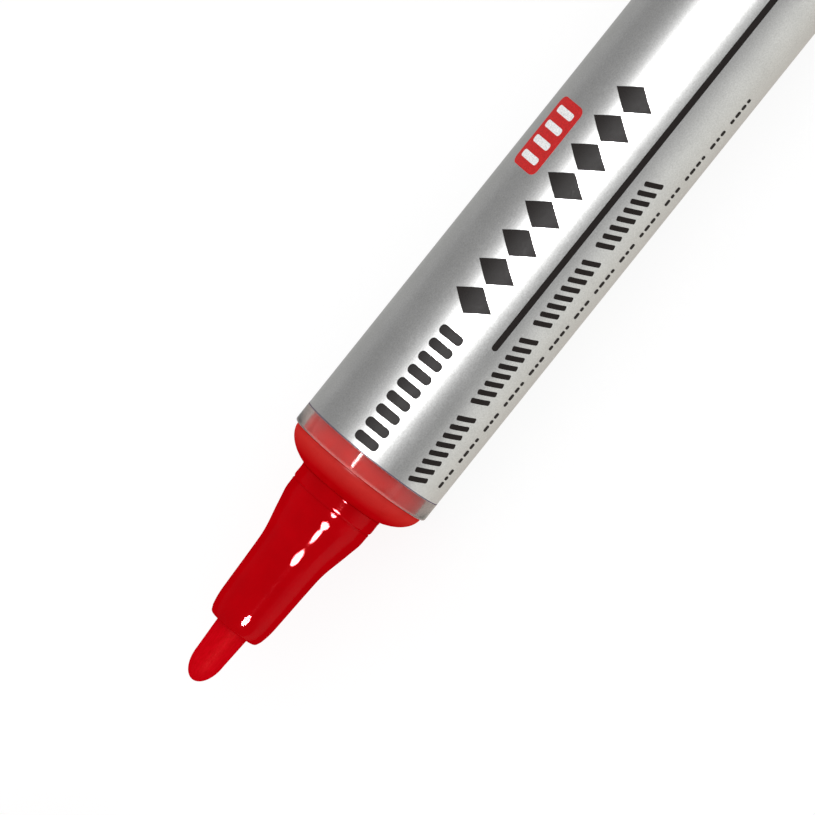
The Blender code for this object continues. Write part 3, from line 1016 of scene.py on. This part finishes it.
def add_print(name, shapes, finish, facing, layer=0):
    """Wraps flat outlines round the label as thin raised ink."""
    shape = bmesh.new()
    for outline in shapes:
        shape.faces.new([shape.verts.new((point[0], point[1], 0)) for point in outline])
    bmesh.ops.remove_doubles(shape, verts=shape.verts, dist=1e-4)
    arounds = [vert.co.y for vert in shape.verts]
    for cut in range(math.ceil(min(arounds) / PRINT_STEP), math.floor(max(arounds) / PRINT_STEP) + 1):
        bmesh.ops.bisect_plane(
            shape,
            geom=shape.verts[:] + shape.edges[:] + shape.faces[:],
            plane_co=(0, cut * PRINT_STEP, 0),
            plane_no=(0, 1, 0),
            dist=1e-5,
        )
    raised = bmesh.ops.extrude_face_region(shape, geom=shape.faces[:])
    for item in raised["geom"]:
        if isinstance(item, bmesh.types.BMVert):
            item.co.z = 1
    radius = place("label_film")[2]
    for vert in shape.verts:
        angle = facing + vert.co.y / radius
        low = radius - PRINT_HEIGHT * 1.4
        high = radius + PRINT_HEIGHT * layer
        out = high if vert.co.z > 0.5 else low
        vert.co = world_point(vert.co.x, out, angle)
    bmesh.ops.recalc_face_normals(shape, faces=shape.faces)
    mesh = bpy.data.meshes.new(name)
    shape.to_mesh(mesh)
    shape.free()
    mesh.shade_smooth()
    mesh.set_sharp_from_angle(angle=math.radians(40))
    return add_piece(name, mesh, finish, "barrel", [])


def block_row(start, around, height, widths, gap, word_gap, rounding):
    """A row of blocks, one for each of widths. A width of 0 is a wider space."""
    shapes = []
    at = start
    for width in widths:
        if width == 0:
            at += word_gap
            continue
        shapes += block(at + width / 2, around, width, height, rounding)
        at += width + gap
    return shapes


def slanted_bars(start, around, height, groups, width, pitch, group_gap):
    """Groups of slanted bars in a row: groups holds the number of bars in each."""
    shapes = []
    at = start
    for count in groups:
        for index in range(count):
            shapes += block(at + index * pitch, around, width, height, width * 0.3, tilt=-0.35)
        at += (count - 1) * pitch + group_gap
    return shapes


def build_prints(black, red, white):
    """Plain marks where the label carries words: blocks, lozenges, a rule, bars, dashes, a patch."""
    facing = math.radians(90 + CAMERA_TILT)
    front = place("label_film")[0]
    marks = block_row(front + 0.9, -1.4, height=3.0, widths=(1.15,) * 9, gap=0.65, word_gap=0, rounding=0.5)
    marks += lozenges(22.4, -1.9, length=3.5, height=5.0, count=8, pitch=3.9)
    marks += block(46.5, 3.2, length=54.0, height=0.75, rounding=0.37)
    groups = (8,) * 4
    marks += slanted_bars(front + 1.5, 6.0, height=2.5, groups=groups, width=0.6, pitch=1.18, group_gap=2.4)
    dashes = (0.8, 0.5, 0.7, 0, 0.6, 0.8, 0.7, 0.5, 0) * 7
    marks += block_row(front + 2.0, 9.6, height=0.6, widths=dashes, gap=0.25, word_gap=0.7, rounding=0.2)
    add_print("label_print_black", marks, black, facing)
    patch = (41.0, -7.7)
    add_print("label_print_patch", block(*patch, 9.0, 4.4, 0.8), red, facing)
    bars = []
    for index in range(4):
        bars += block(patch[0] - 3.0 + index * 2.0, patch[1], 0.9, 3.0, 0.3)
    add_print("label_print_bars", bars, white, facing, layer=1)


def outlined(along, around, length, height, line):
    """The four sides of an empty box."""
    shapes = []
    for side in (-1, 1):
        shapes += block(along, around + side * (height - line) / 2, length, line, 0.1)
        shapes += block(along + side * (length - line) / 2, around, line, height - 2.4 * line, 0.1)
    return shapes


def build_back_panel(black):
    """Plain marks where the back of the label carries its small print."""
    facing = math.radians(-26)  # out of the main camera's view
    marks = []
    for edge in (5.2, -5.2):
        marks += block(44.0, edge, length=66.0, height=0.3, rounding=0.1)
    for index in range(3):
        marks += outlined(14.0 + index * 6.6, 1.2, length=5.0, height=5.0, line=0.35)
    marks += block(20.6, -3.3, length=18.2, height=1.1, rounding=0.4)
    for row in range(6):
        widths = [0.7 + 0.22 * ((index * 7 + row * 5) % 11) for index in range(11 - row % 3)]
        middle = 3.8 - row * 1.5
        marks += block_row(34.5, middle, height=0.6, widths=widths, gap=0.45, word_gap=0, rounding=0.2)
    at = 63.5
    for index in range(22):
        width = 0.16 + 0.16 * ((index * 5) % 4)
        marks += block(at + width / 2, 0, width, height=7.6, rounding=0.04)
        at += width + 0.2 + 0.1 * (index % 3)
    add_print("label_print_back", marks, black, facing)


# ==== stage ====
def seen_by(tree, camera, glossy, through, others):
    """A colour that differs for camera rays, reflections, rays through clear plastic and the rest."""
    rays = add_node(tree, "LightPath")
    colour = others
    for kind, shown in (("Glossy", glossy), ("Transmission", through), ("Camera", camera)):
        is_kind = rays.outputs[f"Is {kind} Ray"]
        colour = add_node(tree, "Mix", {"data_type": "RGBA"}, i0=is_kind, i6=colour, i7=shown).outputs[2]
    return colour


def grey(value):
    """A grey as a colour with alpha."""
    return (value, value, value, 1)


def stops(tree, value, marks):
    """A colour by a value: marks are (value, colour) in rising order."""
    low, high = marks[0][0], marks[-1][0]
    ramp = add_node(tree, "ValToRGB", i0=spread(tree, value, 0.0, 1.0, low, high))
    elements = ramp.color_ramp.elements
    while len(elements) < len(marks):
        elements.new(1.0)
    for element, (mark, colour) in zip(elements, marks):
        element.position = (mark - low) / (high - low)
        element.color = (*colour, 1)
    return ramp.outputs["Color"]


def build_floor():
    """A pale sweep: near white to the camera, brighter on the -Y side in reflections."""
    bpy.ops.mesh.primitive_plane_add(size=6, location=(0, 0, -0.00001))
    floor = bpy.context.object
    floor.name = "floor"
    finish, tree, shader, where = new_material("pale_floor")
    across = add_node(tree, "SeparateXYZ", Vector=where).outputs[1]
    mirrored = stops(tree, across, FLOOR_MIRRORED)
    through = stops(tree, across, FLOOR_THROUGH)
    glow = seen_by(tree, grey(FLOOR_GLOW), mirrored, through, grey(FLOOR_LIGHT))
    set_inputs(
        tree,
        shader,
        Base_Color=grey(0.16),
        Roughness=0.9,
        Specular_IOR_Level=0.0,
        Emission_Color=glow,
        Emission_Strength=1.0,
    )
    floor.data.materials.append(finish)


def build_world():
    """White to the camera, with darker walls in reflections."""
    world = bpy.data.worlds.new("studio")
    bpy.context.scene.world = world
    world.use_nodes = True
    tree = world.node_tree
    background = tree.nodes["Background"]
    direction = add_node(tree, "SeparateXYZ", Vector=add_node(tree, "TexCoord").outputs["Generated"])
    mirrored = stops(tree, direction.outputs[1], WALL_MIRRORED)
    colour = seen_by(tree, grey(1.0), mirrored, grey(WORLD_THROUGH), grey(WORLD_LIGHT))
    tree.links.new(colour, background.inputs["Color"])


def view_axes():
    """Towards the camera, and the picture's right and up, in the frame."""
    tilt = math.radians(CAMERA_TILT)
    lean = math.radians(CAMERA_BACK)
    toward = Vector((math.sin(lean), -math.sin(tilt) * math.cos(lean), math.cos(tilt) * math.cos(lean)))
    tip = Vector((-1, 0, 0))
    tip_seen = (tip - toward * tip.dot(toward)).normalized()
    across = toward.cross(tip_seen)
    slant = math.radians(MARKER_SLANT)
    right = -math.cos(slant) * tip_seen + math.sin(slant) * across
    up = -math.sin(slant) * tip_seen - math.cos(slant) * across
    return toward, right, up, across


def standing(right, up, toward, at):
    """The matrix of a camera or light at a place, looking away from toward."""
    axes = Matrix((right, up, toward)).transposed().to_4x4()
    return Matrix.Translation(at) @ axes


def add_camera():
    """A long lens, placed so that the picture is VIEW_WIDTH across at the marker."""
    toward, right, up, across = view_axes()
    data = bpy.data.cameras.new("camera")
    data.lens = CAMERA_LENS
    camera = bpy.data.objects.new("camera", data)
    bpy.context.scene.collection.objects.link(camera)
    centre = Vector((RIM_X + VIEW_CENTRE[0] * MM, 0, AXIS_Z)) + across * VIEW_CENTRE[1] * MM
    distance = VIEW_WIDTH * MM * data.lens / data.sensor_width
    camera.matrix_world = standing(right, up, toward, centre + toward * distance)
    data.clip_start = 0.01
    data.clip_end = 10
    bpy.context.scene.camera = camera


def add_softbox(name, shape, aim_at, round_angle, tip_angle, length, width, radiance, lit):
    """A softbox seen from a place on the axis. round_angle is degrees from straight up towards
    -Y, and tip_angle is degrees from square on towards the tip. Its length lies along the marker,
    and both sizes are in degrees. It shows only as a reflection in the pieces that it lights."""
    length = 2 * LIGHT_DISTANCE * math.tan(math.radians(length) / 2)
    width = 2 * LIGHT_DISTANCE * math.tan(math.radians(width) / 2)
    data = bpy.data.lights.new(name, "AREA")
    data.shape = shape
    data.size = length
    data.size_y = width
    data.energy = radiance * math.pi * length * width * (math.pi / 4 if shape == "ELLIPSE" else 1)
    light = bpy.data.objects.new(name, data)
    bpy.context.scene.collection.objects.link(light)
    around = math.radians(round_angle)
    lean = math.radians(tip_angle)
    square_on = math.cos(lean)
    toward = Vector((-math.sin(lean), -math.sin(around) * square_on, math.cos(around) * square_on))
    side = Vector((1, 0, 0))
    side = (side - toward * side.dot(toward)).normalized()
    up = toward.cross(side)
    aim = Vector((RIM_X + aim_at * MM, 0, AXIS_Z))
    light.matrix_world = standing(side, up, toward, aim + toward * LIGHT_DISTANCE)
    light.visible_diffuse = False
    receivers = bpy.data.collections.new(name + "_receivers")
    for piece in lit:
        receivers.objects.link(piece)
    light.light_linking.receiver_collection = receivers


def add_lights(pieces):
    writing_end = [piece for piece in pieces if piece.name.startswith(("nib", "nozzle"))]
    tube = [piece for piece in pieces if piece.name.startswith("barrel_tube")]
    rest = [piece for piece in pieces if piece not in writing_end + tube]
    add_softbox("strip_light", "RECTANGLE", 0, CAMERA_TILT - 10, -8, 32, 3.5, 285, rest)
    add_softbox("tube_light", "RECTANGLE", 0, CAMERA_TILT - 12, -4, 40, 3, 30, tube)
    add_softbox("tip_light", "ELLIPSE", -9.8, CAMERA_TILT + 20, 22.0, 16, 19, 400, writing_end)


def main():
    red = moulded_plastic("red_gloss", (0.47, 0.0003, 0.003), 0.045, specular=0.3, tint=(1, 0.12, 0.14))
    plain_red = moulded_plastic("red_gloss_plain", (0.47, 0.002, 0.006), 0.15, specular=0.28)
    shoulder_red = shoulder_plastic("shoulder_red")
    felt = inked_fibre("red_felt", (0.52, 0.0005, 0.003), (0.66, 0.001, 0.008), 5.0)
    foam = open_foam("red_foam")
    clear = clear_plastic("clear_tube")
    silver = silver_film("silver_film")
    natural = moulded_plastic("natural", (0.76, 0.75, 0.70), 0.35, subsurface=0.2)
    rubber = soft_rubber("rubber_black", (0.018, 0.018, 0.018), 0.6)
    silicone = soft_rubber("silicone_grey", (0.36, 0.37, 0.38), 0.45)
    steel = drawn_steel("steel_wire")
    black = printed_ink("ink_black", (0.016, 0.012, 0.011))
    # painted shade: the dark violet line at the label's front edge
    edge_shade = printed_ink("painted_edge_shade", (0.08, 0.05, 0.10))
    print_red = printed_ink("ink_red", (0.55, 0.02, 0.02))
    print_white = printed_ink("ink_white", (0.80, 0.80, 0.80))

    build_nib(felt)
    build_nozzle(red)
    build_shoulder_plug(shoulder_red)
    build_seal_ring("front_seal_ring", rubber)
    build_feed_sleeve(natural)
    build_relay_wick(felt)
    build_ink_absorber(foam)
    build_valve_seat(silicone)
    build_valve_poppet(natural)
    coil("valve_spring", 1.75, 0.2, 5.5, steel)
    build_barrel_tube(clear)
    build_label(silver)
    build_label_edge(edge_shade)
    build_prints(black, print_red, print_white)
    build_back_panel(black)
    build_seal_ring("tail_seal_ring", rubber)
    build_pump(plain_red, rubber, silicone, steel)
    cap_travel = place("cap_shell")[1] - CAP_MOUTH
    build_cap_shell(plain_red, cap_travel)
    build_cap_liner(natural, cap_travel)
    build_cap_end_plug(plain_red)

    shorten_springs()
    pieces = [item for item in bpy.context.scene.objects if item.type == "MESH"]
    build_floor()
    build_world()
    add_camera()
    add_lights(pieces)
    bpy.context.scene.view_settings.view_transform = "Standard"


main()
